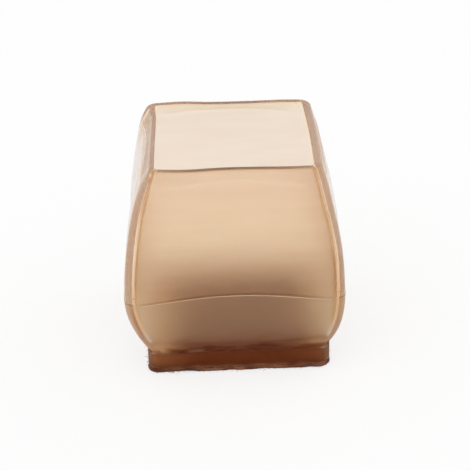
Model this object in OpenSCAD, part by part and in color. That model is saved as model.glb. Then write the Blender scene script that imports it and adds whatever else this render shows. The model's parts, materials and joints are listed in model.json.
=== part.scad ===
// Square push-on cap for a chair leg: a bellied silicone sleeve, moulded in one piece, with a felt
// pad bonded into the skirt under its floor. The mouth points up, and the felt stands on the ground
// at z = 0, centred on the Z axis.

/* [Sleeve] */
// Overall height, from the ground to the rim
height = 41.5; // [32:0.5:60]
// Outside width at the rim
rim_w = 32; // [24:0.2:40]
// Outside width at the belly, the widest level
belly_w = 41; // [34:0.2:50]
// Height of the belly above the ground
belly_z = 17; // [13:0.2:22]
// Outside width of the neck, where the wall meets the foot band
neck_w = 34.8; // [28:0.2:41]
// Wall thickness, measured level
wall = 1.6; // [1.2:0.1:2.4]
// Outside corner radius of the wall, the same at every level
corner_r = 2; // [1.2:0.1:3.5]
// Inside corner radius of the wall
inner_corner_r = 0.4; // [0.2:0.1:2]
// Rounding of the rim's two edges
lip_r = 0.45; // [0.1:0.05:0.55]
// Thickness of the floor under the leg
floor_t = 2.2; // [1.2:0.1:4]
// Fillet between the floor and the wall inside
floor_fillet = 2; // [0.5:0.1:3]

/* [Parting line] */
// How much higher the mould's parting line runs at the middle of a side than at the corners
parting_rise = 1.6; // [0:0.1:3]
// How far the parting line stands out from the wall
parting_ridge = 0.12; // [0:0.01:0.3]
// Width of the parting line
parting_ridge_w = 0.5; // [0.3:0.05:1]

/* [Foot band] */
// Outside width of the foot band, the skirt that holds the felt pad
band_w = 34.8; // [29:0.2:42]
// Outside corner radius of the foot band
band_corner_r = 2.3; // [1.6:0.1:4]
// Thickness of the skirt round the felt pad
skirt_wall = 1; // [0.6:0.1:1.5]
// How far the top of the band stands above the underside of the floor
band_over = 0.9; // [0:0.1:1.5]
// Rounding of the band's outside edges
band_edge_r = 0.4; // [0.1:0.05:0.5]

/* [Felt pad] */
// Thickness of the felt pad
felt_t = 4; // [2:0.1:5]
// How far the felt stands out below the skirt
felt_proud = 1; // [0.3:0.1:1.2]
// Gap between the felt and the skirt
felt_gap = 0.1; // [0.05:0.05:0.3]

/* [Adhesive film] */
// Thickness of the film that bonds the felt to the floor
film_t = 0.2; // [0.1:0.05:0.4]
// How far the film stops short of the felt's edge
film_inset = 0.5; // [0.2:0.1:2]

/* [Hidden] */

$fn = 64;

// Points along a side, and steps round a corner, of every level of the sleeve
side_steps = 6;
corner_steps = 4;
// Steps up the lower wall, the upper wall, the inside wall, and round each small edge and fillet
lower_steps = 7;
upper_steps = 10;
inner_steps = 11;
edge_steps = 2;
fillet_steps = 4;

// Heights, worked up from the ground
film_z = felt_t;
ceiling_z = film_z + film_t;
floor_z = ceiling_z + floor_t;
neck_z = ceiling_z + band_over;
fillet_z = floor_z + floor_fillet;
lip_z = height - lip_r;

// Tightest corner that the felt and the film are cut to
least_corner_r = 0.2;

// Sizes that fit inside one another, worked in from the band
recess_w = band_w - 2 * skirt_wall;
recess_corner_r = max(band_corner_r - skirt_wall, least_corner_r + felt_gap);
felt_w = recess_w - 2 * felt_gap;
felt_corner_r = recess_corner_r - felt_gap;
film_w = felt_w - 2 * film_inset;
film_corner_r = max(felt_corner_r - film_inset, least_corner_r);

// Places along a side, from -1 at one corner to 1 at the next, without the corners themselves
side_places = [for (i = [1 : side_steps - 1]) 2 * i / side_steps - 1];

// Arch of a side: 0 at its corners, 1 in the middle, level at both ends
function arch(t) = pow(1 - t * t, 1.5);

// Height of the parting line at a given share of the arch
function parting_z(s) = belly_z + parting_rise * s;

// Outside half width of the wall: a parabola from the rim down to the belly and another from the
// belly down to the neck, both upright where they meet
function wall_half(z) =
    let (
        end_half = (z > belly_z ? rim_w : neck_w) / 2,
        run = z > belly_z ? height - belly_z : belly_z - neck_z
    )
    belly_w / 2 - (belly_w / 2 - end_half) * pow((z - belly_z) / run, 2);

// Height of a wall level: v runs from -1 at the neck through 0 on the parting line to 1 below the lip
function wall_z(v, s) =
    let (z = parting_z(s))
    z + v * (v < 0 ? z - neck_z : lip_z - z);

// A point of the front side, carried round to side k
function turned(p, k) =
    [p.x * cos(90 * k) - p.y * sin(90 * k), p.x * sin(90 * k) + p.y * cos(90 * k), p.z];

// One closed level: the points of each side, then the round corner that follows it
function level(half, r, z, side) =
    let (c = half - r)
    [
        for (k = [0 : 3]) each concat(
            [for (p = side) turned(p, k)],
            [
                for (j = [0 : corner_steps])
                    let (a = 90 * j / corner_steps)
                    turned([c + r * sin(a), -c - r * cos(a), z], k)
            ]
        )
    ];

// A level with straight sides, for the foot band
function straight_level(half, r, z) =
    level(half, r, z, [for (t = side_places) [t * (half - r), -half, z]]);

// A level of the bellied wall, set in from its outside; z_at gives its height at a share of the arch
function wall_level(inset, r, z_at) =
    let (half = wall_half(z_at(0)) - inset)
    level(
        half, r, z_at(0),
        [
            for (t = side_places)
                let (z = z_at(arch(t)))
                [t * (half - r), inset - wall_half(z), z]
        ]
    );

// The same height all the way round
function flat(z) = function (s) z;

// Levels up the outside of the foot band, round the edge under it and the one that meets the neck
band_levels = concat(
    [
        for (i = [0 : edge_steps])
            let (a = 90 * i / edge_steps, inset = band_edge_r * (1 - sin(a)))
            straight_level(band_w / 2 - inset, band_corner_r - inset, felt_proud + band_edge_r * (1 - cos(a)))
    ],
    [
        for (i = [0 : edge_steps - 1])
            let (a = 90 * i / edge_steps, inset = band_edge_r * (1 - cos(a)))
            straight_level(band_w / 2 - inset, band_corner_r - inset, neck_z - band_edge_r * (1 - sin(a)))
    ]
);

// Levels up the outside of the wall, with the parting line's fine ridge arching over each side
outside_levels = concat(
    [for (i = [0 : lower_steps - 1]) wall_level(0, corner_r, function (s) wall_z(i / lower_steps - 1, s))],
    [
        for (side = [-1 : 1])
            wall_level(
                (abs(side) - 1) * parting_ridge, corner_r,
                function (s) parting_z(s) + side * parting_ridge_w / 2
            )
    ],
    [for (i = [1 : upper_steps]) wall_level(0, corner_r, function (s) wall_z(i / upper_steps, s))]
);

// Levels over the rounded rim, down the inside wall and round the fillet to the floor
inside_levels = concat(
    [
        for (i = [1 : edge_steps])
            let (a = 90 * i / edge_steps, inset = lip_r * (1 - cos(a)))
            wall_level(inset, corner_r - inset, flat(lip_z + lip_r * sin(a)))
    ],
    [
        for (i = [0 : edge_steps])
            let (a = 90 * i / edge_steps, flare = lip_r * (1 - sin(a)))
            wall_level(wall - flare, inner_corner_r + flare, flat(lip_z + lip_r * cos(a)))
    ],
    [
        for (i = [1 : inner_steps])
            wall_level(wall, inner_corner_r, flat(lip_z + (fillet_z - lip_z) * i / inner_steps))
    ],
    [
        for (i = [1 : fillet_steps])
            let (a = 90 * i / fillet_steps)
            wall_level(wall + floor_fillet * (1 - cos(a)), inner_corner_r, flat(fillet_z - floor_fillet * sin(a)))
    ]
);

// Faces of the skin through a stack of levels of n points: triangles between the levels, and a flat
// cap at each end that is listed from the middle of a corner
function skin(levels, n) =
    let (start = side_steps - 1 + corner_steps / 2)
    concat(
        [[for (i = [0 : n - 1]) (start + i) % n]],
        [
            for (k = [0 : levels - 2], i = [0 : n - 1])
                let (a = k * n + i, b = k * n + (i + 1) % n)
                each [[a, a + n, b], [b, a + n, b + n]]
        ],
        [[for (i = [0 : n - 1]) (levels - 1) * n + (start + n - i) % n]]
    );

// Flat slab with round corners
module slab(w, r, t) {
    linear_extrude(t) {
        square([w, w - 2 * r], center = true);
        square([w - 2 * r, w], center = true);
        for (x = [-1, 1], y = [-1, 1])
            translate([x * (w / 2 - r), y * (w / 2 - r)])
                circle(r);
    }
}

// Silicone sleeve: one skin up the outside, over the rim and down to the floor inside, with the
// felt's recess cut into its foot
module silicone_sleeve() {
    levels = concat(band_levels, outside_levels, inside_levels);
    color([0.89, 0.76, 0.64, 0.7])
        difference() {
            polyhedron([for (l = levels) each l], skin(len(levels), len(levels[0])));
            slab(recess_w, recess_corner_r, ceiling_z);
        }
}

// Adhesive film between the felt and the underside of the floor
module adhesive_film() {
    color([0.87, 0.78, 0.68])
        translate([0, 0, film_z])
            slab(film_w, film_corner_r, film_t);
}

// Felt pad, standing a little below the skirt
module felt_pad() {
    color([0.36, 0.16, 0.08])
        slab(felt_w, felt_corner_r, felt_t);
}

silicone_sleeve();
adhesive_film();
felt_pad();
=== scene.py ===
"""Looks of a square chair leg cap: a frosted silicone sleeve with a felt pad bonded under its floor.

Lengths are in millimetres until a mesh is made, and in metres in Blender.
"""

import json
import logging
import math
from dataclasses import dataclass
from enum import Enum

import bpy
import numpy as np
from mathutils import Matrix, Vector


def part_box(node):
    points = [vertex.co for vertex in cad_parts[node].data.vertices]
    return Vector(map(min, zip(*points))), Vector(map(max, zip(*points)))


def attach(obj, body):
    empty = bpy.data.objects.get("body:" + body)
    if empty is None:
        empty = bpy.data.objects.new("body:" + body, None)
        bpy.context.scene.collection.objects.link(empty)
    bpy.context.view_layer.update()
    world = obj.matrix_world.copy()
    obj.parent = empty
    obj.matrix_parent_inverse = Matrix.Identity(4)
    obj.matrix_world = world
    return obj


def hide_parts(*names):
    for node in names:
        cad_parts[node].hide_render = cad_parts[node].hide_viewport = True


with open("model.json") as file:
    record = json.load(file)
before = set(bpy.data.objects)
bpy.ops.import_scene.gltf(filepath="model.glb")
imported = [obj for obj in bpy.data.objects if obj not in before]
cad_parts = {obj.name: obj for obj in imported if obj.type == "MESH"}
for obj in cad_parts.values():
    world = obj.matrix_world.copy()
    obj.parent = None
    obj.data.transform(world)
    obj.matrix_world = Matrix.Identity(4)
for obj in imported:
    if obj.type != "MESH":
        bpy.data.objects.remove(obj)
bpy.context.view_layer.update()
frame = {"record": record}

Array = np.ndarray
Piece = bpy.types.Object
Socket = bpy.types.NodeSocket
Colour = tuple[float, float, float]
Triple = tuple[float, float, float]
Pair = tuple[float, float]
# First value, last value and how many there are
Steps = tuple[float, float, int]

MM = 0.001
BODY = "root"

log = logging.getLogger("chair_leg_cap")


class Node(Enum):
    """CAD nodes that the pieces stand for."""

    SLEEVE = "silicone_sleeve"
    FILM = "adhesive_film"
    FELT = "felt_pad"


class Slot(Enum):
    """Material slots of the record."""

    SILICONE = "silicone"
    ADHESIVE = "adhesive"
    FELT = "felt"


class Axis(Enum):
    """Axes of the shared frame, by the names that Blender's nodes use."""

    X = "X"
    Y = "Y"
    Z = "Z"


class Side(Enum):
    """Sides of the cap, in their order round it."""

    FRONT = 0
    RIGHT = 1
    BACK = 2
    LEFT = 3


class Shade(Enum):
    """Values that are stored on the points of a mesh for its material."""

    # Frost is roughness and soak a darker patch of the adhesive. The others carry painted light and
    # shade: pale is painted light on the sleeve and a worn edge with a painted highlight on the felt,
    # deep and the felt's brown at the neck are painted shade, and gold is painted golden light.
    FROST = "frost"
    STAIN = "stain"
    PALE = "pale"
    DEEP = "deep"
    GOLD = "gold"
    SOAK = "soak"


def box_mm(node: Node) -> tuple[Array, Array]:
    """Corners of a CAD node's box.

    Args:
        node: The CAD node.

    Returns:
        Its lowest and highest corner, in millimetres.
    """
    low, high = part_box(node.value)
    return np.array(low) / MM, np.array(high) / MM


def smooth_step(x: Array, low: float, high: float) -> Array:
    """Step with soft ends: 3p² - 2p³, where p is the share of the way from low to high, held to 0..1.

    Args:
        x: Where the step is wanted.
        low: Where it leaves 0.
        high: Where it reaches 1.

    Returns:
        The step at each x.
    """
    p = np.clip((x - low) / (high - low), 0, 1)
    return p * p * (3 - 2 * p)


def bell(off: Array, width: float) -> Array:
    """Bell curve: e to the power -(off / width)²."""
    return np.exp(-(off / width) ** 2)


def column(values: Array | list[float]) -> Array:
    """Values as a column, one row for each level."""
    return np.asarray(values, float)[:, None]


@dataclass(frozen=True)
class Grain:
    """Smooth seeded noise in space, from -1 to 1.

    Random values sit on a cubic lattice, and the value between them is their blend by soft steps.
    """

    cell: float
    seed: int
    table: int = 32

    def at(self, points: Array) -> Array:
        """The noise at an array of points.

        Args:
            points: Points in millimetres, with x, y and z on the last axis.

        Returns:
            One value for each point.
        """
        values = np.random.default_rng(self.seed).uniform(-1, 1, (self.table,) * 3)
        lattice = points / self.cell
        corner = np.floor(lattice).astype(int)
        share = lattice - corner
        share = share * share * (3 - 2 * share)
        total = np.zeros(points.shape[:-1])
        for step in np.ndindex(2, 2, 2):
            weight = np.prod(np.where(step, share, 1 - share), axis=-1)
            index = np.moveaxis((corner + step) % self.table, -1, 0)
            total += weight * values[tuple(index)]
        return total


@dataclass(frozen=True)
class Spot:
    """A soft round place, full at its centre and less as a bell curve, and the skin's shift there."""

    centre: Triple
    reach: float
    shift: Triple = (0.0, 0.0, 0.0)

    def weight(self, points: Array) -> Array:
        """Share of the spot at each point: e to the power -d² / 2r², at a distance d for a reach r."""
        far = np.sum((points - np.array(self.centre)) ** 2, axis=-1)
        return np.exp(-far / (2 * self.reach ** 2))

    def moved(self, points: Array) -> Array:
        """How far each point is moved."""
        return np.array(self.shift) * self.weight(points)[..., None]


@dataclass(frozen=True)
class SquareRing:
    """Places round a square with round corners, counter-clockwise seen from above.

    A side runs from t = -1 to t = 1, and the corner after it turns through a quarter circle while t
    stays 1. The front side comes first, then the right, the back and the left.
    """

    side_steps: int
    corner_steps: int

    @property
    def place(self) -> Array:
        """Place t of each column along its side."""
        side = np.linspace(-1, 1, self.side_steps + 1)[1:-1]
        return np.tile(np.concatenate([side, np.ones(self.corner_steps + 1)]), len(Side))

    @property
    def corner(self) -> Array:
        """Angle of each column round its corner."""
        bend = np.linspace(0, math.pi / 2, self.corner_steps + 1)
        return np.tile(np.concatenate([np.zeros(self.side_steps - 1), bend]), len(Side))

    @property
    def side(self) -> Array:
        """Number of the side that each column, or the corner that it is on, belongs to."""
        return np.repeat(np.arange(len(Side)), self.side_steps + self.corner_steps)

    @property
    def quarter(self) -> Array:
        """Angle that carries each column from the front side to its own."""
        return self.side * math.pi / 2

    @property
    def on_corner(self) -> Array:
        """Whether each column is on a corner."""
        return self.place == 1

    def on(self, *sides: Side) -> Array:
        """Whether each column belongs to one of the sides."""
        return np.isin(self.side, [side.value for side in sides])

    def flat(self, end: Pair) -> Array:
        """Share of a side's flat at each column: none past end's first place, all before its second."""
        return smooth_step(np.abs(self.place), *end)

    def points(self, half: Array, radius: Array, z: Array, bulge: Array | float = 0.0,
               power: Array | float = 1.0) -> Array:
        """Points of a stack of levels.

        On the front side, x is t times the straight part's half length plus the corner's sine. The
        distance out is the same half length plus the corner's cosine. Sine and cosine are raised to
        a power and taken at the corner's radius with the bulge added. Each side is turned by its own
        quarter.

        Args:
            half: Half width of each level, as a column.
            radius: Corner radius of each level, as a column.
            z: Height, for each level or for each point.
            bulge: How far each point stands out from the outline.
            power: 1 for round corners, 2 for bevelled ones, as a column or for all levels.

        Returns:
            An array of levels by places by 3.
        """
        core = half - radius
        along = core * self.place + (radius + bulge) * np.sin(self.corner) ** power
        out = core + (radius + bulge) * np.cos(self.corner) ** power
        x = along * np.cos(self.quarter) + out * np.sin(self.quarter)
        y = along * np.sin(self.quarter) - out * np.cos(self.quarter)
        return np.stack(np.broadcast_arrays(x, y, z), axis=-1)


def add_piece(name: str, points: Array, faces: list[list[int]], sharp: float) -> Piece:
    """Makes a smooth mesh object at the origin.

    Args:
        name: Name of the piece.
        points: Points in millimetres, one row each.
        faces: Point numbers of each face.
        sharp: Angle in degrees above which an edge stays sharp.

    Returns:
        The new object.
    """
    mesh = bpy.data.meshes.new(name)
    mesh.from_pydata(points * MM, [], faces)
    mesh.polygons.foreach_set("use_smooth", np.ones(len(mesh.polygons), bool))
    mesh.set_sharp_from_angle(angle=math.radians(sharp))
    mesh.update()
    piece = bpy.data.objects.new(name, mesh)
    bpy.context.scene.collection.objects.link(piece)
    return piece


def closed_skin(name: str, rings: Array, sharp: float = 50.0) -> Piece:
    """Joins rings of points into one closed skin.

    Neighbouring rings are joined by quads, and the middle of each end ring is the pole of a fan.

    Args:
        name: Name of the piece.
        rings: Points in millimetres, as rings by places by 3, with the outside on the right hand of a
            walk along a ring towards the next ring.
        sharp: Angle in degrees above which an edge stays sharp.

    Returns:
        The new object.
    """
    levels, count = rings.shape[:2]
    number = np.arange(levels * count).reshape(levels, count)
    after = np.roll(number, -1, axis=1)
    quads = np.stack([number[:-1], after[:-1], after[1:], number[1:]], axis=-1).reshape(-1, 4)
    low_pole, high_pole = levels * count, levels * count + 1
    low_fan = np.stack([np.full(count, low_pole), after[0], number[0]], axis=-1)
    high_fan = np.stack([number[-1], after[-1], np.full(count, high_pole)], axis=-1)
    poles = np.stack([rings[0].mean(axis=0), rings[-1].mean(axis=0)])
    points = np.concatenate([rings.reshape(-1, 3), poles])
    return add_piece(name, points, quads.tolist() + low_fan.tolist() + high_fan.tolist(), sharp)


def store_shade(piece: Piece, shade: Shade, rings: Array) -> None:
    """Stores one value for each point of a closed skin.

    Args:
        piece: The closed skin.
        shade: Which value it is.
        rings: The values, as rings by places. A pole takes the mean of the ring beside it.
    """
    values = np.concatenate([rings.ravel(), [rings[0].mean(), rings[-1].mean()]])
    piece.data.attributes.new(shade.value, "FLOAT", "POINT").data.foreach_set("value", values)


def stand_for(piece: Piece, node: Node) -> Piece:
    """Puts a piece in place of a CAD node.

    Args:
        piece: The piece.
        node: The CAD node that it stands for.

    Returns:
        The same piece.
    """
    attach(piece, BODY)
    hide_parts(node.value)
    return piece


@dataclass(frozen=True)
class Pattern:
    """A noise of a finish: the size of its grains in millimetres, and how fine and how long they are.

    Its values lie from 0 to 1, and the band is the part of them that a finish spreads out.
    """

    cell: float
    detail: float = 2.0
    rough: float = 0.5
    stretch: float = 1.0
    band: Pair = (0.35, 0.65)


class Shader:
    """Node tree of one material, with short calls that add nodes and join them."""

    def __init__(self, name: str) -> None:
        """Starts a material with an empty tree and an output.

        Args:
            name: Name of the material.
        """
        self.material = bpy.data.materials.new(name)
        self.material.use_nodes = True
        self.tree = self.material.node_tree
        self.tree.nodes.clear()
        self.output = self.add("ShaderNodeOutputMaterial")

    def add(self, kind: str, **values: object) -> bpy.types.Node:
        """Adds a node.

        Args:
            kind: Blender's name for the kind of node.
            **values: Properties of the node.

        Returns:
            The new node.
        """
        node = self.tree.nodes.new(kind)
        for key, value in values.items():
            setattr(node, key, value)
        return node

    def join(self, source: Socket, target: Socket) -> None:
        """Links an output to an input."""
        self.tree.links.new(source, target)

    def surface(self, values: dict[str, float | tuple[float, ...]]) -> bpy.types.Node:
        """Adds the surface's own shader and joins it to the output.

        Args:
            values: Values of its inputs, by their names.

        Returns:
            The new node.
        """
        node = self.add("ShaderNodeBsdfPrincipled")
        for key, value in values.items():
            node.inputs[key].default_value = value
        self.join(node.outputs["BSDF"], self.output.inputs["Surface"])
        return node

    def place(self) -> Socket:
        """Output that holds the place on the object, in metres."""
        return self.add("ShaderNodeTexCoord").outputs["Object"]

    def shade(self, shade: Shade) -> Socket:
        """Output that holds a value stored on the mesh."""
        return self.add("ShaderNodeAttribute", attribute_name=shade.value).outputs["Fac"]

    def along(self, axis: Axis, given: Pair, wanted: Pair) -> Socket:
        """Maps the place along an axis onto a range of values.

        Args:
            axis: The axis.
            given: Two places on it, in millimetres.
            wanted: The values at those places, which are held beyond them.

        Returns:
            The values.
        """
        parts = self.add("ShaderNodeSeparateXYZ")
        self.join(self.place(), parts.inputs["Vector"])
        return self.span(parts.outputs[axis.value], (given[0] * MM, given[1] * MM), wanted)

    def maths(self, operation: str, *values: Socket | float) -> Socket:
        """Adds a sum of one or two values.

        Args:
            operation: Blender's name for the sum.
            *values: Outputs or numbers that go into it.

        Returns:
            Its result.
        """
        node = self.add("ShaderNodeMath", operation=operation)
        for socket, value in zip(node.inputs, values):
            if isinstance(value, Socket):
                self.join(value, socket)
            else:
                socket.default_value = value
        return node.outputs["Value"]

    def noise(self, pattern: Pattern) -> Socket:
        """Adds a noise on object coordinates.

        Args:
            pattern: The pattern, whose grains are stretched along x and y.

        Returns:
            The noise's output, from 0 to 1.
        """
        node = self.add("ShaderNodeTexNoise")
        node.inputs["Scale"].default_value = 1 / (pattern.cell * MM)
        node.inputs["Detail"].default_value = pattern.detail
        node.inputs["Roughness"].default_value = pattern.rough
        place = self.add("ShaderNodeMapping")
        place.inputs["Scale"].default_value = (1 / pattern.stretch, 1 / pattern.stretch, 1)
        self.join(self.place(), place.inputs["Vector"])
        self.join(place.outputs["Vector"], node.inputs["Vector"])
        return node.outputs["Fac"]

    def span(self, source: Socket, given: Pair, wanted: Pair) -> Socket:
        """Maps one range of values onto another, held to its ends.

        Args:
            source: Output with the values.
            given: The range that they have.
            wanted: The range that they get.

        Returns:
            The mapped values.
        """
        node = self.add("ShaderNodeMapRange", interpolation_type="SMOOTHSTEP")
        for key, value in zip(("From Min", "From Max", "To Min", "To Max"), (*given, *wanted)):
            node.inputs[key].default_value = value
        self.join(source, node.inputs["Value"])
        return node.outputs["Result"]

    def spread(self, pattern: Pattern, wanted: Pair = (0.0, 1.0)) -> Socket:
        """Adds a noise and maps its band onto a range of values.

        Args:
            pattern: The pattern.
            wanted: The range that the values get.

        Returns:
            The mapped values.
        """
        return self.span(self.noise(pattern), pattern.band, wanted)

    def mix(self, share: Socket, first: Colour | Socket, second: Colour) -> Socket:
        """Mixes two colours.

        Args:
            share: Output with the second colour's share.
            first: The first colour, or an output that holds it.
            second: The second colour.

        Returns:
            The mixed colour.
        """
        node = self.add("ShaderNodeMix", data_type="RGBA")
        self.join(share, node.inputs["Factor"])
        if isinstance(first, Socket):
            self.join(first, node.inputs["A"])
        else:
            node.inputs["A"].default_value = (*first, 1)
        node.inputs["B"].default_value = (*second, 1)
        return node.outputs["Result"]

    def bump(self, height: Socket, depth: float) -> Socket:
        """Adds a bump.

        Args:
            height: Output with the heights, from 0 to 1.
            depth: Depth of the bump in millimetres.

        Returns:
            The bumped normal.
        """
        node = self.add("ShaderNodeBump")
        node.inputs["Distance"].default_value = depth * MM
        self.join(height, node.inputs["Height"])
        return node.outputs["Normal"]


@dataclass(frozen=True)
class SiliconeFinish:
    """Translucent moulded silicone: tinted glass with faint level streaks, clear or frosted by place.

    Painted light and shade lie in its colour: its flat faces are paler towards the foot, a painted
    highlight runs along the brow, and its corners and lips are deeper, as painted shade. Where the
    wall meets the foot band, painted shade shows the felt's brown through the thick neck; a painted
    shade line runs above the parting line's bead; and some edges carry painted golden light.
    """

    tint: Colour = (0.943, 0.806, 0.678)
    pale_tint: Colour = (0.966, 0.838, 0.72)
    # Painted light: the paler colour of the flats towards the foot and of the brow's crest
    painted_light_tint: Colour = (1.0, 0.905, 0.745)
    # Painted shade on the lower corners and the lips
    corner_shade_tint: Colour = (0.72, 0.46, 0.26)
    # Painted golden light: a glow by the left rim, a strip under the back rim and the inside corner
    # lines
    gold_light_tint: Colour = (0.97, 0.75, 0.49)
    # Painted shade: the felt's brown, darkened, as it shows through the thick neck, and the shade line
    # above the parting line's bead
    stain: Colour = (0.29, 0.083, 0.024)
    deep_tint: Colour = (0.96, 0.72, 0.52)
    density: float = 45.0
    gloss_tint: Colour = (0.8, 0.35, 0.2)
    clearness: float = 1.0
    index: float = 1.41
    roughness: Pair = (0.1, 0.16)
    frost: float = 0.42
    streaks: Pattern = Pattern(1.3, detail=3.0, stretch=9.0)
    matte: Pattern = Pattern(2.1, detail=4.0, band=(0.3, 0.7))
    grit: Pattern = Pattern(0.35, detail=3.0)
    grit_depth: float = 0.004

    def material(self) -> bpy.types.Material:
        """Builds the material.

        Returns:
            The silicone's material.
        """
        shader = Shader("frosted_silicone")
        skin = shader.surface({
            "Transmission Weight": self.clearness,
            "IOR": self.index,
            "Specular Tint": (*self.gloss_tint, 1),
        })
        tint = shader.mix(shader.spread(self.streaks), self.tint, self.pale_tint)
        # Painted light and shade laid over the tint by values stored on the mesh: pale flats and brow,
        # golden light, deep corners and lips, and the felt's brown at the neck
        layers = {
            Shade.PALE: self.painted_light_tint,
            Shade.GOLD: self.gold_light_tint,
            Shade.DEEP: self.corner_shade_tint,
            Shade.STAIN: self.stain,
        }
        for shade, colour in layers.items():
            tint = shader.mix(shader.shade(shade), tint, colour)
        shader.join(tint, skin.inputs["Base Color"])
        frost = shader.maths("MULTIPLY", shader.shade(Shade.FROST), self.frost)
        matte = shader.spread(self.matte, self.roughness)
        shader.join(shader.maths("ADD", matte, frost), skin.inputs["Roughness"])
        shader.join(shader.bump(shader.noise(self.grit), self.grit_depth), skin.inputs["Normal"])
        depth = shader.add("ShaderNodeVolumeAbsorption")
        depth.inputs["Color"].default_value = (*self.deep_tint, 1)
        depth.inputs["Density"].default_value = self.density
        shader.join(depth.outputs["Volume"], shader.output.inputs["Volume"])
        return shader.material


@dataclass(frozen=True)
class FeltFinish:
    """Reddish-brown needle-punched felt: mixed fibres, a soft sheen and a tangled surface.

    It is paler towards both ends of the front, as painted light, and darker towards the ground, as
    painted shade. Its edge is worn pale and also carries a painted highlight.
    """

    name: str = "brown_felt"
    dark: Colour = (0.13, 0.027, 0.007)
    warm: Colour = (0.235, 0.057, 0.016)
    pale: Colour = (0.34, 0.135, 0.06)
    pale_share: float = 0.35
    # Painted light: the felt is paler towards both ends of the front
    side_light: Colour = (0.42, 0.17, 0.072)
    side_light_left_x: Pair = (-16.5, -7.0)
    side_light_right_x: Pair = (7.0, 16.5)
    side_light_share: Pair = (0.6, 0.25)
    # Painted shade: the felt darkens towards the ground
    ground_shade: Colour = (0.09, 0.017, 0.005)
    ground_shade_z: Pair = (0.3, 3.2)
    ground_shade_share: float = 0.75
    # Worn pale edge, which also carries a painted highlight
    worn_and_lit: Colour = (0.5, 0.24, 0.135)
    tangle: Pattern = Pattern(0.5, detail=5.0, rough=0.65)
    tangle_depth: float = 0.12
    strands: Pattern = Pattern(0.225, band=(0.58, 0.72))
    roughness: float = 0.95
    gloss: float = 0.05
    sheen: float = 0.25
    sheen_roughness: float = 0.5

    def material(self) -> bpy.types.Material:
        """Builds the material.

        Returns:
            The felt's material.
        """
        shader = Shader(self.name)
        skin = shader.surface({
            "Roughness": self.roughness,
            "Specular IOR Level": self.gloss,
            "Sheen Weight": self.sheen,
            "Sheen Roughness": self.sheen_roughness,
        })
        tangle = shader.noise(self.tangle)
        blend = shader.mix(shader.span(tangle, self.tangle.band, (0.0, 1.0)), self.dark, self.warm)
        # Painted light towards both ends of the front
        left = shader.along(Axis.X, self.side_light_left_x, (self.side_light_share[0], 0.0))
        right = shader.along(Axis.X, self.side_light_right_x, (0.0, self.side_light_share[1]))
        blend = shader.mix(shader.maths("MAXIMUM", left, right), blend, self.side_light)
        # Painted shade towards the ground
        ground_shade = shader.along(Axis.Z, self.ground_shade_z, (self.ground_shade_share, 0.0))
        blend = shader.mix(ground_shade, blend, self.ground_shade)
        # Worn pale edge with a painted highlight, by the value stored on the slab
        blend = shader.mix(shader.shade(Shade.PALE), blend, self.worn_and_lit)
        blend = shader.mix(shader.spread(self.strands, (0.0, self.pale_share)), blend, self.pale)
        shader.join(blend, skin.inputs["Base Color"])
        shader.join(shader.bump(tangle, self.tangle_depth), skin.inputs["Normal"])
        return shader.material


# The loose fibres have the same painted shade towards the ground, over a shorter height
LOOSE_FIBRES = FeltFinish(
    name="loose_fibres",
    dark=(0.17, 0.045, 0.016),
    warm=(0.36, 0.14, 0.07),
    pale=(0.6, 0.32, 0.19),
    pale_share=0.8,
    ground_shade_z=(0.05, 0.6),
)


@dataclass(frozen=True)
class AdhesiveFinish:
    """Cured pale adhesive: thick at the sides and the back, thin over the middle, bare along the front.

    The paler colour at the sides and the back is painted light, for light that comes in through the
    side walls. Where it is thin, the felt's brown shows, and along the front the felt itself shows in
    dashes.
    """

    # Painted light: the pale colour at the sides and the back, for light that comes in through the side
    # walls
    thick: Colour = (0.98, 0.75, 0.51)
    thin: Colour = (0.275, 0.116, 0.052)
    soaked: Colour = (0.15, 0.058, 0.028)
    bare: Colour = (0.17, 0.045, 0.017)
    # Where the painted light of the sides and the back comes in
    left_x: Pair = (-16.0, -9.6)
    right_x: Pair = (10.8, 17.3)
    back_y: Pair = (7.5, 16.0)
    front_y: Pair = (-15.8, -13.5)
    patches: Pattern = Pattern(4.0, detail=4.0, rough=0.6, band=(0.3, 0.7))
    patch_share: Pair = (0.8, 1.0)
    patch_depth: float = 0.05
    dashes: Pattern = Pattern(2.2, detail=1.0, band=(0.4, 0.6))
    dash_share: Pair = (0.45, 1.0)
    kept_sides: Pair = (0.4, 1.0)
    roughness: float = 0.9
    gloss: float = 0.0

    def material(self) -> bpy.types.Material:
        """Builds the material.

        Returns:
            The adhesive's material.
        """
        shader = Shader("cured_adhesive")
        skin = shader.surface({"Roughness": self.roughness, "Specular IOR Level": self.gloss})
        patches = shader.noise(self.patches)
        # Painted light at the sides and the back
        left = shader.along(Axis.X, self.left_x, (1.0, 0.0))
        right = shader.along(Axis.X, self.right_x, (0.0, 1.0))
        sides = shader.maths("MAXIMUM", left, right)
        back = shader.along(Axis.Y, self.back_y, (0.0, 1.0))
        uneven = shader.span(patches, self.patches.band, self.patch_share)
        share = shader.maths("MULTIPLY", shader.maths("MAXIMUM", sides, back), uneven)
        blend = shader.mix(shader.shade(Shade.SOAK), self.thin, self.soaked)
        blend = shader.mix(share, blend, self.thick)
        dashes = shader.spread(self.dashes, self.dash_share)
        front = shader.maths("MULTIPLY", shader.along(Axis.Y, self.front_y, (1.0, 0.0)), dashes)
        kept = shader.span(sides, self.kept_sides, self.kept_sides[::-1])
        blend = shader.mix(shader.maths("MULTIPLY", front, kept), blend, self.bare)
        shader.join(blend, skin.inputs["Base Color"])
        shader.join(shader.bump(patches, self.patch_depth), skin.inputs["Normal"])
        return shader.material


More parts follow.
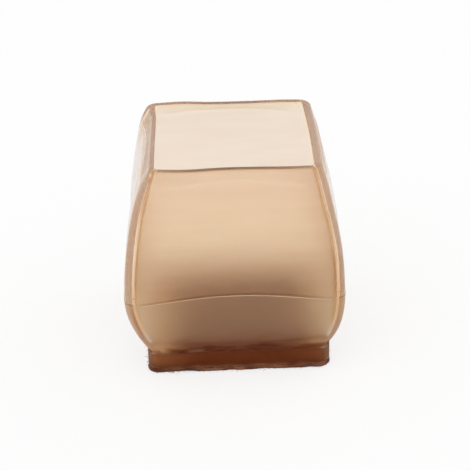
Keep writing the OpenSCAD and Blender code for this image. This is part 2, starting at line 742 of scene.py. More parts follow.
@dataclass(frozen=True)
class Skin:
    """Points of the sleeve's skin: the felt's recess, the outside, and the inside from rim to floor."""

    recess: Array
    outer: Array
    inner: Array

    @property
    def points(self) -> Array:
        """All the points, part after part."""
        return np.concatenate([self.recess, self.outer, self.inner])

    @property
    def number(self) -> Array:
        """Number of each inner level from the rim down, as a column."""
        return column(np.arange(len(self.inner)))

    def values(self, recess: float = 0.0, outer: Array | float = 0.0,
               inner: Array | float = 0.0) -> Array:
        """Values for all the points, part after part.

        Args:
            recess: The value in the recess.
            outer: The values on the outside.
            inner: The values from the rim to the floor inside.

        Returns:
            The values, as rings by places.
        """
        pairs = ((recess, self.recess), (outer, self.outer), (inner, self.inner))
        return np.concatenate([np.broadcast_to(value, part.shape[:2]) for value, part in pairs])


@dataclass
class SiliconeSleeve:
    """The moulded sleeve: a bellied square wall with a rim, a floor, and a skirt round the felt."""

    # Sizes that the frame gives, and the finish
    height: float
    belly_w: float
    skirt_z: float
    recess_w: float
    ceiling_z: float
    floor_z: float
    finish: SiliconeFinish

    # Wall, rim and foot band
    rim_w: float = 32.0
    neck_w: float = 34.8
    belly_z: float = 17.0
    wall: float = 1.6
    corner_r: float = 2.0
    inner_corner_r: float = 0.4
    corner_power: float = 1.8
    lip_out_r: float = 0.6
    lip_in_r: float = 0.3
    floor_fillet: float = 1.0
    skirt_wall: float = 1.0
    band_corner_r: float = 2.3
    band_over: float = 0.9
    band_edge_r: float = 0.4

    # Parting line, with the CAD ridge that the frame's width holds, and the brow below the rim
    parting_rise: float = 1.6
    parting_ridge: float = 0.12
    parting_half: float = 0.6
    mismatch: float = 0.05
    bead: float = 0.13
    bead_w: float = 0.14
    line_corner: float = 0.2
    line_end: Pair = (1.0, 0.94)
    brow: float = 0.1
    brow_w: float = 0.22
    brow_drop: float = 3.0
    brow_rise: float = 1.3
    brow_end: Pair = (0.97, 0.75)
    # Width of the painted highlight on the brow's crest
    crest_highlight_w: float = 0.44

    # Frost: below the parting line, on corners, at the neck and the rim, and down the inside
    low_frost: float = 1.0
    low_edge: Pair = (0.1, -0.1)
    corner_z: Pair = (6.5, 12.0)
    corner_clear: float = 0.6
    corner_frost: float = -0.2
    side_frost: float = 0.7
    neck_clear: float = 0.45
    neck_clear_z: float = 7.2
    neck_clear_w: float = 1.2
    rim_frost: float = 0.5
    rim_edge: Pair = (-0.1, 0.3)
    inner_edge: Pair = (4, 13)

    # Painted light and shade: pale flats, deep corners and lips, golden edges, and a shade line above
    # the parting line
    # Painted light: the flats grow paler below these heights
    pale_z: Pair = (12.0, 21.0)
    # Painted shade: the lower corners deepen below these heights, and so do the front and back lips
    deep_z: Pair = (16.0, 30.0)
    deep_share: Pair = (0.5, 1.0)
    lip_deep: float = 0.65
    lip_edges: tuple[Pair, Pair] = ((1, 4), (12, 8))
    # Painted golden light: the glow by the left rim, the strip under the back rim and the inside corner
    # lines
    gold_spot: Spot = Spot(centre=(-16.5, 12.0, 38.0), reach=6.0)
    gold_drop: Pair = (1.8, 1.2)
    gold_share: Pair = (0.9, 0.7)
    gold_line: float = 0.7
    # Painted shade: a dark line above the parting line's bead, as its shadow
    line_shade_share: Pair = (0.5, 0.15)
    line_shade_w: float = 0.13
    line_shade_off: float = 0.09

    # Painted shade: the felt's brown seen darkened through the thick neck, and the pale dashes in it
    stain_z: Pair = (5.3, 6.2)
    stain_foot: Pair = (-0.1, 0.5)
    stain_end: float = -0.82
    stain_aside: float = 0.2
    stain_y: Pair = (-9.0, -16.5)
    stain_waver: float = 0.9
    stain_cell: float = 2.7
    dash_band: Pair = (0.1, 0.5)
    dash_share: float = 0.5
    dash_drop: float = 0.3
    dash_w: float = 0.3

    # Unevenness of the moulding
    lean: float = -0.5
    lean_fade: float = 9.0
    rim_tilt: float = -0.013
    rim_lift: float = 0.3
    ripple: float = 0.05
    ripple_cell: float = 9.0
    thin: float = 0.6
    thin_z: Pair = (38.2, 41.2)
    thin_y: Pair = (16.0, 9.0)
    thin_spot: Spot = Spot(centre=(19.0, -18.0, 23.0), reach=12.0, shift=(0.3, 0.0, 0.0))
    dents: tuple[Spot, ...] = (
        Spot(centre=(-9.4, 15.2, 41.5), reach=3.5, shift=(0.0, 0.0, 0.35)),
        Spot(centre=(2.5, 15.2, 41.5), reach=4.5, shift=(0.0, 0.0, 0.1)),
        Spot(centre=(11.0, 15.2, 41.5), reach=4.0, shift=(0.0, 0.0, 0.25)),
        Spot(centre=(-9.0, -15.2, 41.5), reach=3.6, shift=(0.0, 0.0, -0.33)),
        Spot(centre=(10.0, -15.2, 41.5), reach=4.0, shift=(0.0, 0.0, -0.13)),
        Spot(centre=(-20.5, 9.0, 27.0), reach=10.0, shift=(0.75, 0.0, 0.0)),
        Spot(centre=(-16.8, 15.5, 39.0), reach=3.0, shift=(-0.6, 0.0, 0.0)),
        Spot(centre=(17.5, 16.0, 36.0), reach=5.0, shift=(-0.2, 0.0, 0.0)),
        Spot(centre=(19.0, 0.0, 32.0), reach=9.0, shift=(0.55, 0.0, 0.0)),
    )

    # Places round the sleeve, and levels of its skin
    ring: SquareRing = SquareRing(side_steps=48, corner_steps=12)
    bend_count: int = 7
    ceiling_steps: Steps = (0.1, 0.98, 8)
    recess_count: int = 10
    band_count: int = 8
    lower_steps: Steps = (-1, -0.07, 28)
    line_count: int = 41
    upper_steps: Steps = (0.04, 0.82, 36)
    top_steps: Steps = (0.825, 1, 44)
    inner_count: int = 45
    floor_steps: Steps = (0.95, 0.05, 10)

    @classmethod
    def from_frame(cls, finish: SiliconeFinish) -> "SiliconeSleeve":
        """Takes the sizes that the CAD nodes give.

        Args:
            finish: The silicone's finish.

        Returns:
            The sleeve.
        """
        low, high = box_mm(Node.SLEEVE)
        felt_low, felt_high = box_mm(Node.FELT)
        seat = next(m for m in frame["record"]["mounts"] if m["name"] == "leg_seat")
        return cls(
            height=high[2],
            belly_w=high[0] - low[0] - 2 * cls.parting_ridge,
            skirt_z=low[2],
            recess_w=felt_high[0] - felt_low[0] + 2 * FeltPad.gap,
            ceiling_z=box_mm(Node.FILM)[1][2],
            floor_z=seat["pos_m"][2] / MM,
            finish=finish,
        )

    @property
    def band_w(self) -> float:
        """Outside width of the foot band."""
        return self.recess_w + 2 * self.skirt_wall

    @property
    def neck_z(self) -> float:
        """Height at which the wall leaves the foot band."""
        return self.ceiling_z + self.band_over

    @property
    def lip_z(self) -> float:
        """Height at which the rim's outer rounding begins."""
        return self.height - self.lip_out_r

    @property
    def bend(self) -> Array:
        """Angles along each small quarter round."""
        return np.linspace(0, math.pi / 2, self.bend_count)

    @property
    def arch(self) -> Array:
        """Arch of each column: (1 - t²) to the power 1.5, which is 0 at corners and 1 mid-side."""
        return (1 - self.ring.place ** 2) ** 1.5

    @property
    def line_z(self) -> Array:
        """Height of the parting line at each column."""
        return self.belly_z + self.parting_rise * self.arch

    @property
    def brow_z(self) -> Array:
        """Height of the brow below the rim at each column."""
        return self.height - self.brow_drop + self.brow_rise * self.arch

    def wall_half(self, z: Array) -> Array:
        """Outside half width of the wall.

        It is a parabola from the rim down to the belly, and another from there down to the neck, both
        upright where they meet.

        Args:
            z: Height.

        Returns:
            The half width.
        """
        end = np.where(z > self.belly_z, self.rim_w, self.neck_w) / 2
        run = np.where(z > self.belly_z, self.height - self.belly_z, self.belly_z - self.neck_z)
        return self.belly_w / 2 - (self.belly_w / 2 - end) * ((z - self.belly_z) / run) ** 2

    def wall_z(self, v: Array, line: Array | float) -> Array:
        """Height of a wall level, where v is -1 at the neck, 0 on the parting line and 1 below the lip.

        Args:
            v: The level.
            line: Height of the parting line there.

        Returns:
            The height.
        """
        return line + v * np.where(v < 0, line - self.neck_z, self.lip_z - line)

    def straight(self, half: Array, radius: Array, z: Array) -> Array:
        """Levels with straight sides.

        Args:
            half: Half width of each level.
            radius: Corner radius of each level.
            z: Height of each level.

        Returns:
            Their points.
        """
        return self.ring.points(column(half), column(radius), column(z))

    def bellied(self, inset: Array, radius: Array, z: Array, corner_z: Array,
                relief: Array | float = 0.0, power: Array | float = 1.0) -> Array:
        """Levels that follow the bellied wall.

        Args:
            inset: How far each level lies inside the wall's outside.
            radius: Corner radius of each level.
            z: Height of each point.
            corner_z: Height of each level at the corners.
            relief: How far each point stands out besides.
            power: 1 for round corners, 2 for bevelled ones.

        Returns:
            Their points.
        """
        half = self.wall_half(column(corner_z)) - column(inset)
        bulge = self.wall_half(z) - column(inset) - half + relief
        return self.ring.points(half, column(radius), z, bulge, power)

    def recess(self) -> Array:
        """Levels of the felt's recess: out from the middle of its ceiling, then down its wall.

        Returns:
            Their points.
        """
        half, radius = self.recess_w / 2, self.band_corner_r - self.skirt_wall
        share = np.linspace(*self.ceiling_steps)
        ceiling = self.straight(half * share, radius * share, np.full(share.size, self.ceiling_z))
        down = np.linspace(self.ceiling_z, self.skirt_z, self.recess_count)
        same = np.ones(down.size)
        return np.concatenate([ceiling, self.straight(half * same, radius * same, down)])

    def band(self) -> Array:
        """Levels of the foot band: a quarter round under it, its wall, and one that meets the neck.

        Returns:
            Their points.
        """
        bend, edge = self.bend, self.band_edge_r
        low_inset, high_inset = edge * (1 - np.sin(bend)), edge * (1 - np.cos(bend[:-1]))
        low_z = self.skirt_z + edge * (1 - np.cos(bend))
        high_z = self.neck_z - edge * (1 - np.sin(bend[:-1]))
        middle_z = np.linspace(low_z[-1], high_z[0], self.band_count)[1:-1]
        inset = np.concatenate([low_inset, np.zeros(middle_z.size), high_inset])
        z = np.concatenate([low_z, middle_z, high_z])
        return self.straight(self.band_w / 2 - inset, self.band_corner_r - inset, z)

    def outside(self) -> Array:
        """Levels of the outside wall, with the parting line on the belly and a brow below the rim.

        The lower mould half stands a little proud at the parting line and less towards the neck. On
        the line runs a bead, which is fainter on the corners, and the brow arches over each side. Both
        have bell-curve sections.

        Returns:
            Their points.
        """
        lower = np.linspace(*self.lower_steps)
        upper = np.concatenate([np.linspace(*self.upper_steps), np.linspace(*self.top_steps)])
        off = np.linspace(-self.parting_half, self.parting_half, self.line_count)
        pads = (lower.size, upper.size)
        v = np.concatenate([lower, np.zeros(off.size), upper])
        rise = np.pad(off, pads)
        step = self.mismatch * (1 - smooth_step(off, -self.bead_w / 2, self.bead_w / 2))
        inset = -np.concatenate([self.mismatch * (1 + lower), step, np.zeros(upper.size)])
        bead = column(np.pad(self.bead * bell(off + self.bead_w, self.bead_w), pads))
        bead = bead * (self.line_corner + (1 - self.line_corner) * self.ring.flat(self.line_end))
        z = self.wall_z(column(v), self.line_z) + column(rise)
        corner_z = self.wall_z(v, self.belly_z) + rise
        brow = self.brow * bell(z - self.brow_z, self.brow_w) * self.ring.flat(self.brow_end)
        return self.bellied(inset, np.full(v.size, self.corner_r), z, corner_z, bead + brow)

    def inside(self) -> Array:
        """Levels over the rounded rim, down the inside wall and round the fillet to the floor.

        Returns:
            Their points.
        """
        bend = self.bend
        out_inset = self.lip_out_r * (1 - np.cos(bend[1:]))
        flare = self.lip_in_r * (1 - np.sin(bend))
        mouth_z = self.height - self.lip_in_r
        fillet_z = self.floor_z + self.floor_fillet
        down = np.linspace(mouth_z, fillet_z, self.inner_count)[1:]
        round_in = self.floor_fillet * (1 - np.cos(bend[1:]))
        inset = np.concatenate([
            out_inset,
            self.wall - flare,
            np.full(down.size, self.wall),
            self.wall + round_in,
        ])
        radius = np.concatenate([
            self.corner_r - out_inset,
            self.inner_corner_r + flare,
            np.full(down.size + round_in.size, self.inner_corner_r),
        ])
        z = np.concatenate([
            self.lip_z + self.lip_out_r * np.sin(bend[1:]),
            mouth_z + self.lip_in_r * np.cos(bend),
            down,
            fillet_z - self.floor_fillet * np.sin(bend[1:]),
        ])
        flat_z = np.repeat(column(z), self.arch.size, axis=1)
        power = np.where(np.arange(z.size) < out_inset.size, 1.0, self.corner_power)
        points = self.bellied(inset, radius, flat_z, z, power=column(power))
        return points + self.thin_spot.moved(points)

    def floor(self, edge: Array) -> Array:
        """Levels of the floor: its edge drawn in towards the middle.

        Args:
            edge: The last level of the fillet.

        Returns:
            Their points.
        """
        share = np.linspace(*self.floor_steps)[:, None, None]
        middle = np.array([0.0, 0.0, self.floor_z])
        return middle + share * (edge - middle)

    def thinned(self, points: Array) -> Array:
        """How far the outside is drawn in where the rim is thin on the left.

        The shift is full on the outside and none on the inside, and in between it follows the depth
        in the wall. It comes in over thin_z and goes out towards the back over thin_y.

        Args:
            points: Points of the skin.

        Returns:
            A shift for each point.
        """
        x, y, z = np.moveaxis(points, -1, 0)
        depth = np.clip((-x - self.wall_half(z) + self.wall) / self.wall, 0, 1)
        shift = self.thin * depth * smooth_step(z, *self.thin_z) * smooth_step(y, *self.thin_y)
        return shift[..., None] * (1.0, 0.0, 0.0)

    def uneven(self, points: Array) -> Array:
        """Makes the moulding slightly uneven: a lean of the belly, a few dents and a faint ripple.

        The belly leans to one side, less towards the floor and the rim. The rim is lifted and tilts by
        its own slope, and the ripple fades out towards the floor.

        Args:
            points: Points of the skin.

        Returns:
            The moved points.
        """
        moved = points + self.thinned(points) + sum(dent.moved(points) for dent in self.dents)
        above = smooth_step(points[..., 2], self.floor_z, self.belly_z)
        below = smooth_step(points[..., 2], self.height, self.height - self.lean_fade)
        moved[..., 0] += self.lean * above * below
        rim = smooth_step(points[..., 2], self.belly_z, self.height)
        moved[..., 2] += (self.rim_lift + self.rim_tilt * points[..., 0]) * rim
        fade = self.ripple * above
        moved[..., 0] += fade * Grain(self.ripple_cell, seed=3).at(points)
        moved[..., 1] += fade * Grain(self.ripple_cell, seed=4).at(points)
        return moved

    def across(self, points: Array, share: Pair) -> Array:
        """Value that goes evenly from share's first, at the left of the belly, to its second."""
        return np.interp(points[..., 0], (-self.belly_w / 2, self.belly_w / 2), share)

    def polished(self, points: Array) -> Array:
        """How much each point is on a polished corner, which comes in over corner_z."""
        return self.ring.on_corner * smooth_step(points[..., 2], *self.corner_z)

    def stained(self, points: Array) -> Array:
        """How much painted shade, the felt's brown as it shows darkened through the thick neck, each
        point of the outside has.

        It comes in from stain_z's upper end to its lower end, with a wavering edge and a few pale
        dashes below it, goes out again below the band's top edge, and is weaker at one end of a side.
        It is full on the front and fades over stain_y to the share that the other sides have.

        Args:
            points: Points of the outside.

        Returns:
            The share of brown.
        """
        level, plan = points[..., 2], points * (1.0, 1.0, 0.0)
        waver = level + self.stain_waver * Grain(self.stain_cell, seed=5).at(plan)
        dash = smooth_step(Grain(self.stain_cell, seed=6).at(plan), *self.dash_band)
        dash = self.dash_share * dash * bell(level - self.neck_z + self.dash_drop, self.dash_w)
        foot = smooth_step(level - self.ceiling_z, *self.stain_foot)
        end = smooth_step(self.ring.place, -1.0, self.stain_end)
        front = smooth_step(points[..., 1], *self.stain_y)
        side = self.stain_aside + (1 - self.stain_aside) * front
        return smooth_step(waver, *self.stain_z[::-1]) * foot * end * side * (1 - dash)

    def line_shade(self, points: Array) -> Array:
        """How much painted shade, the bead's shadow, lies above the parting line's bead at each point
        of the outside.

        It has a bell-curve section, fades from left to right and is not on the corners.

        Args:
            points: Points of the outside.

        Returns:
            The share of painted shade.
        """
        section = bell(points[..., 2] - self.line_z - self.line_shade_off, self.line_shade_w)
        return self.across(points, self.line_shade_share) * self.ring.flat(self.line_end) * section

    def frost(self, skin: Skin) -> Array:
        """How frosted the skin is.

        The outside is frosted below the parting line, less on the corners and along the neck, and a
        little above the brow. The inside is frosted from below the rim down, less on the left and
        right walls, and the corners are polished. The recess is frosted all over.

        Args:
            skin: The sleeve's skin.

        Returns:
            One value for each point.
        """
        level = skin.outer[..., 2]
        outer = self.low_frost * smooth_step(level - self.line_z, *self.low_edge)
        outer = outer * (1 - self.corner_clear * self.polished(skin.outer))
        outer = outer * (1 - self.neck_clear * bell(level - self.neck_clear_z, self.neck_clear_w))
        rim = self.ring.flat(self.brow_end) * smooth_step(level - self.brow_z, *self.rim_edge)
        inner = smooth_step(skin.number, *self.inner_edge)
        inner = inner * (1 + (self.corner_frost - 1) * self.polished(skin.inner))
        beside = self.ring.on(Side.RIGHT, Side.LEFT) & ~self.ring.on_corner
        inner = inner * np.where(beside, self.side_frost, 1.0)
        return skin.values(recess=1.0, outer=outer + self.rim_frost * rim, inner=inner)

    def pale(self, skin: Skin) -> Array:
        """How pale the skin is, as painted light: the flats towards the foot, and a painted highlight
        on the brow's crest.

        Args:
            skin: The sleeve's skin.

        Returns:
            One value for each point.
        """
        # Painted light on the lower flats, and a painted highlight on the brow's crest
        low = smooth_step(skin.points[..., 2], *self.pale_z[::-1])
        crest = self.ring.flat(self.brow_end) * bell(skin.outer[..., 2] - self.brow_z, self.crest_highlight_w)
        return (1 - self.polished(skin.points)) * np.maximum(low, skin.values(outer=crest))

    def deep(self, skin: Skin) -> Array:
        """How deep the skin's colour is, as painted shade: the lower corners, most where they meet a
        flat, and the lips.

        The corners' share grows from left to right. It is made up to the full by 1 - sin(2a), where a
        is the angle round the corner. The lips are deep on the front and the back.

        Args:
            skin: The sleeve's skin.

        Returns:
            One value for each point.
        """
        # Painted shade on the lower corners, most where they meet a flat, and on the front and back
        # lips
        share = self.across(skin.outer, self.deep_share)
        share = share + (1 - share) * (1 - np.sin(2 * self.ring.corner))
        low = smooth_step(skin.outer[..., 2], *self.deep_z[::-1])
        lip = self.lip_deep * self.ring.on(Side.FRONT, Side.BACK)
        for edge in self.lip_edges:
            lip = lip * smooth_step(skin.number, *edge)
        return skin.values(outer=self.polished(skin.outer) * share * low, inner=lip)

    def gold(self, skin: Skin) -> Array:
        """How much painted golden light the skin has: a glow by the left rim, a strip under the back
        rim, inside corners.

        Args:
            skin: The sleeve's skin.

        Returns:
            One value for each point.
        """
        back = self.ring.on(Side.BACK)
        glow = self.gold_share[0] * self.gold_spot.weight(skin.outer) * ~back
        strip = smooth_step(skin.inner[..., 2], *(self.height - drop for drop in self.gold_drop))
        corner = self.gold_line * self.polished(skin.inner)
        return skin.values(outer=glow, inner=np.maximum(self.gold_share[1] * strip * back, corner))

    def build(self) -> Piece:
        """Makes the sleeve, dresses it and puts it in place of its CAD node.

        Returns:
            The piece.
        """
        inside = self.inside()
        skin = Skin(
            recess=self.recess(),
            outer=np.concatenate([self.band(), self.outside()]),
            inner=np.concatenate([inside, self.floor(inside[-1])]),
        )
        piece = closed_skin("sleeve", self.uneven(skin.points))
        store_shade(piece, Shade.FROST, self.frost(skin))
        # Painted shade: the felt's brown at the neck and the line above the parting line's bead
        brown = self.stained(skin.outer) + self.line_shade(skin.outer)
        store_shade(piece, Shade.STAIN, skin.values(outer=brown))
        store_shade(piece, Shade.PALE, self.pale(skin))
        store_shade(piece, Shade.DEEP, self.deep(skin))
        store_shade(piece, Shade.GOLD, self.gold(skin))
        piece.data.materials.append(self.finish.material())
        return stand_for(piece, Node.SLEEVE)


@dataclass
class AdhesiveFilm:
    """The thin bond over the felt, squeezed out to the skirt, with an uneven edge."""

    half: float
    low_z: float
    high_z: float
    finish: AdhesiveFinish
    corner_r: float = 1.0
    bond: float = 0.02
    spread: float = 0.5
    creep: float = 0.08
    creep_cell: float = 2.6
    creep_power: int = 8
    edge: float = 0.12
    drop: float = 0.3
    drop_share: Pair = (0.25, 0.7)
    soak_centre: Pair = (8.0, 3.2)
    soak_reach: Pair = (8.5, 5.0)
    ring: SquareRing = SquareRing(side_steps=110, corner_steps=10)
    flat_steps: Steps = (0.1, 0.97, 8)
    edge_count: int = 9

    @classmethod
    def from_frame(cls, finish: AdhesiveFinish) -> "AdhesiveFilm":
        """Takes the sizes that the CAD node gives.

        Args:
            finish: The adhesive's finish.

        Returns:
            The film.
        """
        low, high = box_mm(Node.FILM)
        return cls(half=high[0], low_z=low[2], high_z=high[2], finish=finish)

    def rings(self) -> Array:
        """Points of the film: its underside, a round edge that creeps in and out, and its top.

        Where the edge has crept furthest out it also hangs down over the felt's rounded edge. The top
        is sunk into the silicone by the bond.

        Returns:
            Levels by places by 3.
        """
        top_z = self.high_z + self.bond
        outline = self.ring.points(np.array([[self.half]]), np.array([[self.corner_r]]), self.low_z)
        creep = self.creep * Grain(self.creep_cell, seed=11).at(outline)
        hang = self.drop * smooth_step(creep, *(self.creep * share for share in self.drop_share))
        creep = creep + self.spread
        share = column(np.linspace(*self.flat_steps))
        bulge = creep * share ** self.creep_power
        inner = self.ring.points(self.half * share, self.corner_r * share, self.low_z, bulge)
        bend = column(np.linspace(-math.pi / 2, math.pi / 2, self.edge_count))
        z = (self.low_z + top_z) / 2 + (top_z - self.low_z) / 2 * np.sin(bend)
        z = z - hang * (1 - np.sin(bend)) / 2
        out = creep - self.edge + self.edge * np.cos(bend)
        round_edge = self.ring.points(
            np.full(bend.shape, self.half), np.full(bend.shape, self.corner_r), z, out
        )
        top = inner[::-1].copy()
        top[..., 2] = top_z
        return np.concatenate([inner, round_edge, top])

    def build(self) -> Piece:
        """Makes the film, dresses it and puts it in place of its CAD node.

        Returns:
            The piece.
        """
        rings = self.rings()
        piece = closed_skin("adhesive", rings)
        off = (rings[..., :2] - self.soak_centre) / self.soak_reach
        store_shade(piece, Shade.SOAK, np.exp(-np.sum(off ** 2, axis=-1)))
        piece.data.materials.append(self.finish.material())
        return stand_for(piece, Node.FILM)


@dataclass
class FeltPad:
    """The felt pad: a tangled slab with soft edges, and loose fibres round its foot."""

    # Sizes that the frame gives, and the finishes
    half: float
    thick: float
    skirt_z: float
    finish: FeltFinish
    fuzz_finish: FeltFinish

    # Slab
    gap: float = 0.1
    press: float = 0.09
    corner_r: float = 1.2
    least_r: float = 0.02
    top_r: float = 0.42
    foot_r: float = 0.3
    fuzz: float = 0.07
    fuzz_cell: float = 0.35

    # Spread foot, and its worn pale edge, which also carries a painted highlight
    flare: float = 1.05
    flare_share: Pair = (0.9, 0.25)
    flare_foot: float = 0.6
    flare_cell: float = 1.5
    flare_z: Pair = (0.75, 0.5)
    worn_and_lit_z: Pair = (0.42, 0.55)
    worn_and_lit_cell: float = 2.0
    worn_and_lit_band: Pair = (-0.5, 0.5)

    # Loose fibres
    fibres: int = 3600
    fibre_r: float = 0.045
    fibre_taper: float = 0.66
    fibre_length: Pair = (0.25, 0.65)
    fibre_curl: float = 0.5
    fibre_spread: Triple = (1.0, 0.5, 0.5)
    fibre_aim: Triple = (0.0, 0.55, 0.0)
    fibre_root: float = 0.3
    fibre_in: float = 0.5
    root_clear: Pair = (0.05, 0.1)
    fibre_clear: Pair = (0.01, 0.04)
    fibre_top: float = 1.9
    clear: float = 1.16

    # Places round the slab, and levels of its skin and of a fibre
    ring: SquareRing = SquareRing(side_steps=150, corner_steps=10)
    under_steps: Steps = (0.04, 0.97, 30)
    over_skip: int = 3
    bend_count: int = 6
    side_count: int = 20
    fibre_rings: int = 5
    fibre_sides: int = 3

    @classmethod
    def from_frame(cls, finish: FeltFinish, fuzz_finish: FeltFinish) -> "FeltPad":
        """Takes the sizes that the CAD nodes give.

        Args:
            finish: The slab's finish.
            fuzz_finish: The loose fibres' finish.

        Returns:
            The felt pad.
        """
        high = box_mm(Node.FELT)[1]
        return cls(
            half=high[0],
            thick=high[2],
            skirt_z=box_mm(Node.SLEEVE)[0][2],
            finish=finish,
            fuzz_finish=fuzz_finish,
        )

    def rings(self) -> Array:
        """Points of the slab: out over its underside, round its foot, up its side and over its top.

        Its side is pressed against the skirt, and noise draws it in from there and lifts the underside.
        Below the skirt it spreads out by the flare, which starts at flare_z's first level, is full from
        its second down, and comes and goes with a coarser noise.

        Returns:
            Levels by places by 3.
        """
        share = np.linspace(*self.under_steps)
        bend = np.linspace(0, math.pi / 2, self.bend_count)
        up = np.linspace(self.foot_r, self.thick - self.top_r, self.side_count)[1:-1]
        under = (1 - share) * (self.half - self.foot_r) + self.foot_r
        over = under[::-self.over_skip] + self.top_r - self.foot_r
        inset = np.concatenate([
            under,
            self.foot_r * (1 - np.sin(bend)),
            np.zeros(up.size),
            self.top_r * (1 - np.cos(bend)),
            over,
        ])
        z = np.concatenate([
            np.zeros(under.size),
            self.foot_r * (1 - np.cos(bend)),
            up,
            self.thick - self.top_r * (1 - np.sin(bend)),
            np.full(over.size, self.thick),
        ])
        radius = np.maximum(self.corner_r - inset, self.least_r)
        levels = column(self.half - inset), column(radius), column(z)
        plain = self.ring.points(*levels)
        tangle = 0.5 + 0.5 * Grain(self.fuzz_cell, seed=21).at(plain)
        side = smooth_step(z, 0.0, self.foot_r)
        mean, swing = self.flare_share
        spread = self.flare * (mean + swing * Grain(self.flare_cell, seed=22).at(plain))
        below = smooth_step(z, *self.flare_z) * (self.flare_foot + (1 - self.flare_foot) * side)
        pressed = (self.gap + self.press - self.fuzz * tangle) * column(side * (inset < self.top_r))
        flared = spread * column(below * (inset <= self.foot_r))
        drawn = self.ring.points(*levels, pressed + flared)
        drawn[..., 2] += self.fuzz * tangle * column(1 - side)
        return drawn

    def fuzz_points(self) -> tuple[Array, Array]:
        """Points and faces of the loose fibres round the foot.

        A fibre leaves the side's lowest part and runs on q·d + q²·c, where q goes from 0 at its root
        to 1 at its tip, d is its direction and c its curl. Its section is a small triangle that
        narrows to about a third. It stays above the ground, and below the skirt until it is clear of
        that, from where it may stand up to fibre_top. It is drawn on the front side, turned by its
        share of the corner if it stands on one, and carried to its side.

        Returns:
            The points, one row each, and the point numbers of the quads.
        """
        draw = np.random.default_rng(31)
        count = self.fibres
        side = (draw.integers(0, len(Side), count) * math.pi / 2)[:, None, None]
        core = self.half - self.corner_r
        reach = core + self.corner_r * math.pi / 4
        along = draw.uniform(-reach, reach, count)
        flat = np.clip(along, -core, core)
        turn = ((along - flat) / self.corner_r)[:, None, None]
        root_z = draw.uniform(self.root_clear[0], self.skirt_z - self.root_clear[1], count)
        length = draw.uniform(*self.fibre_length, count)
        aim = draw.normal(0, 1, (count, 3)) * self.fibre_spread + self.fibre_aim
        aim *= (length / np.linalg.norm(aim, axis=1))[:, None]
        curl = draw.normal(0, self.fibre_curl, (count, 3)) * length[:, None]
        q = np.linspace(0, 1, self.fibre_rings)[None, :, None]
        edge = self.corner_r + self.flare
        root = np.stack([np.zeros(count), np.full(count, edge - self.fibre_root), root_z], axis=-1)
        path = root[:, None, :] + q * aim[:, None, :] + q ** 2 * curl[:, None, :]
        spin = np.linspace(0, 2 * math.pi, self.fibre_sides, endpoint=False)
        thick = self.fibre_r * (1 - self.fibre_taper * q)[..., None]
        across = np.stack([np.zeros_like(spin), np.cos(spin), np.sin(spin)], axis=-1)
        tube = path[:, :, None, :] + thick * across
        outside = tube[..., 1] > self.corner_r + self.clear
        ground, under = self.fibre_clear
        top = np.where(outside, self.fibre_top, self.skirt_z - under)
        tube[..., 2] = np.clip(tube[..., 2], ground, top)
        tube[..., 1] = np.maximum(tube[..., 1], edge - self.fibre_in)
        right = flat[:, None, None] + tube[..., 0] * np.cos(turn) + tube[..., 1] * np.sin(turn)
        out = core - tube[..., 0] * np.sin(turn) + tube[..., 1] * np.cos(turn)
        x = right * np.cos(side) + out * np.sin(side)
        y = right * np.sin(side) - out * np.cos(side)
        points = np.stack([x, y, tube[..., 2]], axis=-1).reshape(-1, 3)
        number = np.arange(points.shape[0]).reshape(count, self.fibre_rings, self.fibre_sides)
        after = np.roll(number, -1, axis=2)
        quads = np.stack([number[:, :-1], after[:, :-1], after[:, 1:], number[:, 1:]], axis=-1)
        return points, quads.reshape(-1, 4)

    def build(self) -> list[Piece]:
        """Makes the slab and its loose fibres, dresses them and puts them in place of the CAD node.

        Returns:
            The two pieces.
        """
        rings = self.rings()
        slab = closed_skin("felt", rings, sharp=180.0)
        level = rings[..., 2]
        # Worn pale edge below the skirt, partly a painted highlight where it faces up
        worn_and_lit = smooth_step(Grain(self.worn_and_lit_cell, seed=23).at(rings), *self.worn_and_lit_band)
        worn_and_lit = worn_and_lit * smooth_step(level, *self.worn_and_lit_z) * (level < self.skirt_z)
        store_shade(slab, Shade.PALE, worn_and_lit)
        points, quads = self.fuzz_points()
        fuzz = add_piece("felt_fuzz", points, quads.tolist(), sharp=180.0)
        for piece, finish in ((slab, self.finish), (fuzz, self.fuzz_finish)):
            piece.data.materials.append(finish.material())
            stand_for(piece, Node.FELT)
        return [slab, fuzz]


@dataclass(frozen=True)
class Viewpoint:
    """The camera: seen from the front, a little from above, with a slight tilt of the picture."""

    azimuth: float = -1.329
    elevation: float = 27.654
    roll: float = -1.552
    distance: float = 309.0
    aim: Triple = (0.222, 0.291, 20.064)
    lens: float = 121.02
    sensor: float = 36.0
    near: float = 0.01
    far: float = 100.0

    def build(self) -> None:
        """Makes the scene's camera.

        Its axes are the right and up of a level view, turned by the roll about the line of sight.
        """
        turn, tip, roll = (math.radians(a) for a in (self.azimuth, self.elevation, self.roll))
        back = Vector((
            math.sin(turn) * math.cos(tip), -math.cos(turn) * math.cos(tip), math.sin(tip),
        ))
        level = Vector((0, 0, 1)).cross(back).normalized()
        upright = back.cross(level)
        right = math.cos(roll) * level + math.sin(roll) * upright
        up = back.cross(right)
        data = bpy.data.cameras.new("camera")
        data.lens, data.sensor_width = self.lens, self.sensor
        data.clip_start, data.clip_end = self.near, self.far
        camera = bpy.data.objects.new("camera", data)
        place = Matrix.Translation((Vector(self.aim) + back * self.distance) * MM)
        camera.matrix_world = place @ Matrix((right, up, back)).transposed().to_4x4()
        bpy.context.scene.collection.objects.link(camera)
        bpy.context.scene.camera = camera


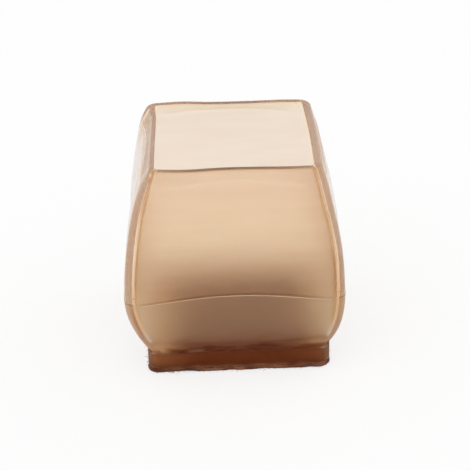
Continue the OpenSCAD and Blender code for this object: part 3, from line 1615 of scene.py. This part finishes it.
@dataclass(frozen=True)
class Lamp:
    """A large soft lamp that points at the object."""

    name: str
    place: Triple
    size: float
    power: float

    def build(self) -> None:
        """Makes the lamp."""
        data = bpy.data.lights.new(self.name, "AREA")
        data.size, data.energy = self.size, self.power
        lamp = bpy.data.objects.new(self.name, data)
        lamp.location = self.place
        lamp.rotation_mode = "QUATERNION"
        lamp.rotation_quaternion = (-Vector(self.place)).to_track_quat("-Z", "Y")
        bpy.context.scene.collection.objects.link(lamp)


@dataclass(frozen=True)
class Studio:
    """White surroundings: a pale floor, an even white sky and soft lamps."""

    sky: float = 0.88
    floor_colour: Colour = (0.26, 0.26, 0.26)
    floor_lift: float = 0.735
    floor_half: float = 1.5
    bounces: int = 32
    lamps: tuple[Lamp, ...] = (
        Lamp("key_lamp", place=(-0.45, -0.45, 0.75), size=0.6, power=0.9),
        Lamp("fill_lamp", place=(0.55, 0.25, 0.70), size=0.6, power=0.5),
    )

    @staticmethod
    def seen(tree: bpy.types.NodeTree) -> Socket:
        """Adds nodes that tell what is seen, straight or through gloss or glass, from what only lights.

        Args:
            tree: The node tree.

        Returns:
            An output that is 1 for what is seen.
        """
        path = tree.nodes.new("ShaderNodeLightPath")
        first, second = (tree.nodes.new("ShaderNodeMath") for _ in range(2))
        first.operation = second.operation = "MAXIMUM"
        tree.links.new(path.outputs["Is Camera Ray"], first.inputs[0])
        tree.links.new(path.outputs["Is Glossy Ray"], first.inputs[1])
        tree.links.new(first.outputs[0], second.inputs[0])
        tree.links.new(path.outputs["Is Transmission Ray"], second.inputs[1])
        return second.outputs[0]

    def build_sky(self) -> None:
        """Makes the world: white where it is seen, and a little dimmer as a light."""
        world = bpy.data.worlds.new("white_sky")
        world.use_nodes = True
        tree = world.node_tree
        sky = tree.nodes["Background"]
        sky.inputs["Color"].default_value = (1, 1, 1, 1)
        level = tree.nodes.new("ShaderNodeMapRange")
        level.inputs["To Min"].default_value = self.sky
        level.inputs["To Max"].default_value = 1.0
        tree.links.new(self.seen(tree), level.inputs["Value"])
        tree.links.new(level.outputs["Result"], sky.inputs["Strength"])
        bpy.context.scene.world = world

    def build_floor(self) -> None:
        """Makes the floor: pale, matte, and lifted to white where it is seen in full light."""
        shader = Shader("pale_floor")
        matte = shader.add("ShaderNodeBsdfDiffuse")
        matte.inputs["Color"].default_value = (*self.floor_colour, 1)
        glow = shader.add("ShaderNodeEmission")
        lift = shader.maths("MULTIPLY", self.seen(shader.tree), self.floor_lift)
        shader.join(lift, glow.inputs["Strength"])
        both = shader.add("ShaderNodeAddShader")
        shader.join(matte.outputs["BSDF"], both.inputs[0])
        shader.join(glow.outputs["Emission"], both.inputs[1])
        shader.join(both.outputs["Shader"], shader.output.inputs["Surface"])
        mesh = bpy.data.meshes.new("floor")
        corners = np.array([(-1, -1, 0), (1, -1, 0), (1, 1, 0), (-1, 1, 0)]) * self.floor_half
        mesh.from_pydata(corners, [], [(0, 1, 2, 3)])
        mesh.materials.append(shader.material)
        floor = bpy.data.objects.new("floor", mesh)
        bpy.context.scene.collection.objects.link(floor)

    def build(self) -> None:
        """Makes the sky, the floor and the lamps, and lets light bounce often in the silicone."""
        scene = bpy.context.scene
        scene.view_settings.view_transform = "Standard"
        scene.cycles.max_bounces = self.bounces
        scene.cycles.glossy_bounces = self.bounces
        scene.cycles.transmission_bounces = self.bounces
        self.build_sky()
        self.build_floor()
        for lamp in self.lamps:
            lamp.build()


def main() -> None:
    """Builds the camera, the studio and the pieces."""
    logging.basicConfig(level=logging.INFO, format="%(name)s: %(message)s")
    Viewpoint().build()
    Studio().build()
    pieces = [
        SiliconeSleeve.from_frame(SiliconeFinish()).build(),
        AdhesiveFilm.from_frame(AdhesiveFinish()).build(),
        *FeltPad.from_frame(FeltFinish(), LOOSE_FIBRES).build(),
    ]
    for piece in pieces:
        mesh = piece.data
        log.info("%s: %d points, %d faces", piece.name, len(mesh.vertices), len(mesh.polygons))


if __name__ == "__main__":
    main()
